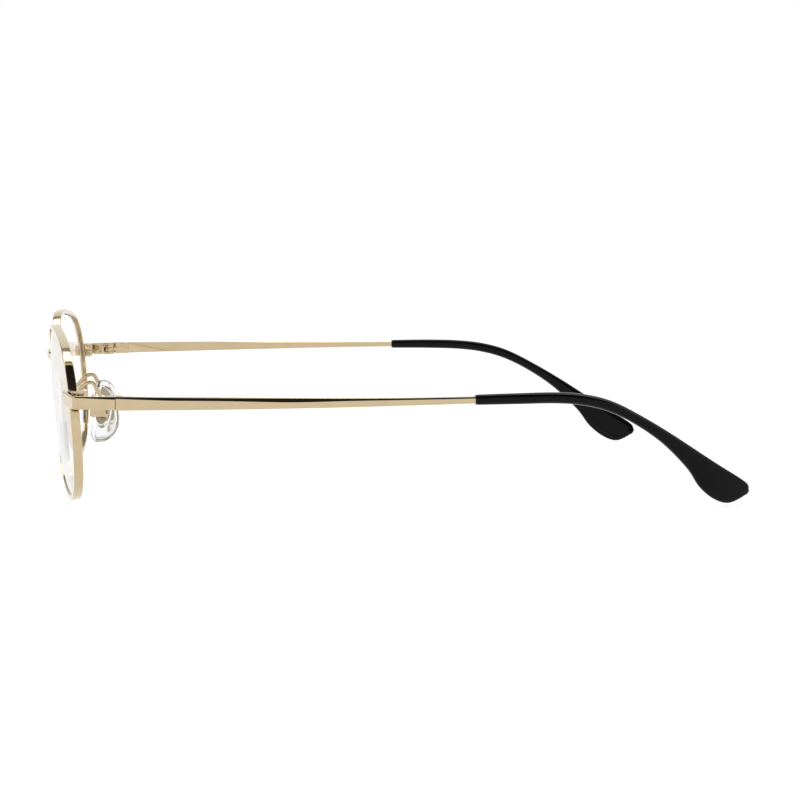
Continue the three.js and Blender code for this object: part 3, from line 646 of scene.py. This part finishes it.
def noise(nodes, links, coords, scale, detail=3.0, stretch=None):
    texture = nodes.new("ShaderNodeTexNoise")
    texture.inputs["Scale"].default_value = scale
    texture.inputs["Detail"].default_value = detail
    if stretch:
        mapping = nodes.new("ShaderNodeMapping")
        mapping.inputs["Scale"].default_value = stretch
        links.new(coords, mapping.inputs["Vector"])
        links.new(mapping.outputs["Vector"], texture.inputs["Vector"])
    else:
        links.new(coords, texture.inputs["Vector"])
    return texture.outputs["Fac"]


def ramp(nodes, links, value, low, high, start=0.35, stop=0.65):
    """Turns a noise value into a colour between two, or into a number when given two numbers."""
    if hasattr(low, "__len__"):
        node = nodes.new("ShaderNodeValToRGB")
        node.color_ramp.elements[0].position = start
        node.color_ramp.elements[1].position = stop
        node.color_ramp.elements[0].color = (*low, 1)
        node.color_ramp.elements[1].color = (*high, 1)
        links.new(value, node.inputs["Fac"])
        return node.outputs["Color"]
    node = nodes.new("ShaderNodeMapRange")
    node.inputs["From Min"].default_value = start
    node.inputs["From Max"].default_value = stop
    node.inputs["To Min"].default_value = low
    node.inputs["To Max"].default_value = high
    links.new(value, node.inputs["Value"])
    return node.outputs["Result"]


def bump(nodes, links, height, shader, strength, distance):
    node = nodes.new("ShaderNodeBump")
    node.inputs["Strength"].default_value = strength
    node.inputs["Distance"].default_value = distance
    links.new(height, node.inputs["Height"])
    links.new(node.outputs["Normal"], shader.inputs["Normal"])


def gold(name, light, deep, rough):
    """Plated metal: a faint drift of tint, fine polishing lines along Y and a slightly uneven gloss."""
    material, nodes, links, shader, coords = node_setup(name)
    shader.inputs["Metallic"].default_value = 1.0
    tint = noise(nodes, links, coords, 260, 4)
    links.new(ramp(nodes, links, tint, deep, light), shader.inputs["Base Color"])
    wear = noise(nodes, links, coords, 900, 5)
    links.new(ramp(nodes, links, wear, rough * 0.7, rough * 1.35), shader.inputs["Roughness"])
    lines = noise(nodes, links, coords, 2600, 2, (1.0, 0.06, 1.0))
    bump(nodes, links, lines, shader, 0.05, 0.00002)
    return material


def black_plastic(name):
    """Polished injection-moulded sleeve: near black, with a faint ripple and handling marks."""
    material, nodes, links, shader, coords = node_setup(name)
    shader.inputs["IOR"].default_value = 1.22
    tint = noise(nodes, links, coords, 180, 3)
    links.new(ramp(nodes, links, tint, (0.001, 0.001, 0.0012), (0.0025, 0.0025, 0.0028)),
              shader.inputs["Base Color"])
    marks = noise(nodes, links, coords, 700, 5)
    links.new(ramp(nodes, links, marks, 0.08, 0.17), shader.inputs["Roughness"])
    ripple = noise(nodes, links, coords, 420, 2)
    bump(nodes, links, ripple, shader, 0.06, 0.00004)
    return material


def clear(name, ior, gloss, low, high, rough, ripple_strength):
    """Clear glass or soft plastic with a trace of tint and a nearly invisible film."""
    material, nodes, links, shader, coords = node_setup(name)
    shader.inputs["Transmission Weight"].default_value = 1.0
    shader.inputs["IOR"].default_value = ior
    shader.inputs["Specular IOR Level"].default_value = gloss
    film = noise(nodes, links, coords, 120, 3)
    links.new(ramp(nodes, links, film, low, high), shader.inputs["Base Color"])
    links.new(ramp(nodes, links, film, *rough), shader.inputs["Roughness"])
    ripple = noise(nodes, links, coords, 300, 2)
    bump(nodes, links, ripple, shader, ripple_strength, 0.00003)
    return material


# ---- Studio ----

def emitter(name, colour, strength):
    material = bpy.data.materials.new(name)
    material.use_nodes = True
    shader = material.node_tree.nodes["Principled BSDF"]
    shader.inputs["Base Color"].default_value = (*colour, 1)
    shader.inputs["Roughness"].default_value = 0.9
    shader.inputs["Emission Color"].default_value = (1, 1, 1, 1)
    shader.inputs["Emission Strength"].default_value = strength
    return material


def quad(name, corners, material):
    mesh = bpy.data.meshes.new(name)
    mesh.from_pydata([tuple(c) for c in corners], [], [(0, 1, 2, 3)])
    mesh.materials.append(material)
    obj = bpy.data.objects.new(name, mesh)
    bpy.context.scene.collection.objects.link(obj)
    return obj


def floor():
    half = 9.0
    z = -0.0004
    quad("floor", [(-half, -half, z), (half, -half, z), (half, half, z), (-half, half, z)],
         emitter("floor_white", (0.2, 0.2, 0.2), 0.83))


def glossy_only(name, corners, strength):
    """A card that only mirror-like surfaces show."""
    board = quad(name, corners, emitter(name, (0, 0, 0), strength))
    board.visible_camera = False
    board.visible_diffuse = False
    board.visible_transmission = False
    board.visible_shadow = False
    board.visible_volume_scatter = False


def strip(name, low, high, strength):
    """A card above the set between two angles above +X."""
    near, far = (CARD_HEIGHT / math.tan(math.radians(a)) for a in (high, low))
    glossy_only(name, [(near, -CARD_HALF, CARD_HEIGHT), (far, -CARD_HALF, CARD_HEIGHT),
                       (far, CARD_HALF, CARD_HEIGHT), (near, CARD_HALF, CARD_HEIGHT)], strength)


def wall(name, start, stop, strength):
    """A card that stands beside the set between two angles from +X towards +Y."""
    (ax, ay), (bx, by) = ((WALL_DISTANCE * math.cos(a), WALL_DISTANCE * math.sin(a))
                          for a in (math.radians(start), math.radians(stop)))
    glossy_only(name, [(ax, ay, 0.0), (bx, by, 0.0), (bx, by, WALL_HEIGHT), (ax, ay, WALL_HEIGHT)],
                strength)


def studio():
    world = bpy.data.worlds.new("studio")
    bpy.context.scene.world = world
    world.use_nodes = True
    background = world.node_tree.nodes["Background"]
    background.inputs["Color"].default_value = (1, 1, 1, 1)
    background.inputs["Strength"].default_value = 1.0
    bpy.context.scene.view_settings.view_transform = "Standard"
    bpy.context.scene.view_settings.look = "None"
    floor()
    for name, low, high, strength in STRIPS:
        strip(name, low, high, strength)
    for name, start, stop, strength in WALLS:
        wall(name, start, stop, strength)


def camera():
    data = bpy.data.cameras.new("camera")
    data.sensor_width = 36.0
    data.lens = CAMERA_LENS
    data.clip_start = 0.01
    data.clip_end = 60.0
    obj = bpy.data.objects.new("camera", data)
    bpy.context.scene.collection.objects.link(obj)
    cy, sy = math.cos(CAMERA_YAW), math.sin(CAMERA_YAW)
    cp, sp = math.cos(CAMERA_PITCH), math.sin(CAMERA_PITCH)
    right = Vector((sy, cy, 0))
    up = Vector((-sp * cy, sp * sy, cp))
    back = Vector((cp * cy, -cp * sy, sp))
    turn = Matrix((right, up, back)).transposed().to_4x4()
    obj.matrix_world = Matrix.Translation(Vector((np.array(CAMERA_AT) + SHIFT) * MM)) @ turn
    bpy.context.scene.camera = obj


# ---- Assembly ----

camera()
studio()

GOLD = gold("frame_gold", (0.615, 0.49, 0.31), (0.585, 0.465, 0.292), 0.085)
SCREW = gold("screw_gold", (0.5, 0.41, 0.26), (0.42, 0.34, 0.21), 0.2)
INSERT = gold("insert_gold", (0.42, 0.34, 0.22), (0.35, 0.28, 0.18), 0.25)
BLACK = black_plastic("tip_black")
LENS = clear("lens_clear", 1.35, 0.15, (0.985, 0.99, 0.995), (0.995, 0.998, 1.0), (0.0, 0.006), 0.0)
PAD = clear("pad_clear", 1.42, 0.5, (0.95, 0.96, 0.97), (0.97, 0.98, 0.985), (0.03, 0.09), 0.05)

add_pair("rim", rim_shape(), GOLD)
add_pair("lens", lens_shape(), LENS)
bridge = new_object("bridge_shown", *bridge_shape())
place(bridge, "bridge", GOLD)
add_pair("endpiece", trimmed(endpiece_shape()), GOLD)
add_pair("temple", temple_shape(), GOLD)
add_pair("temple_tip", tip_shape(), BLACK)
add_pair("nose_pad", pad_shape(), PAD)
add_pair("pad_arm", arm_shape(), GOLD)
for part in ("rim_lock_upper", "rim_lock_lower", "hinge_front_leaf", "hinge_temple_leaf", "pad_box"):
    refined_pair(part, GOLD, 0.07)
for part in ("rim_lock_screw", "hinge_screw", "pad_screw"):
    refined_pair(part, SCREW, 0.03)
refined_pair("pad_insert", INSERT, 0.07)
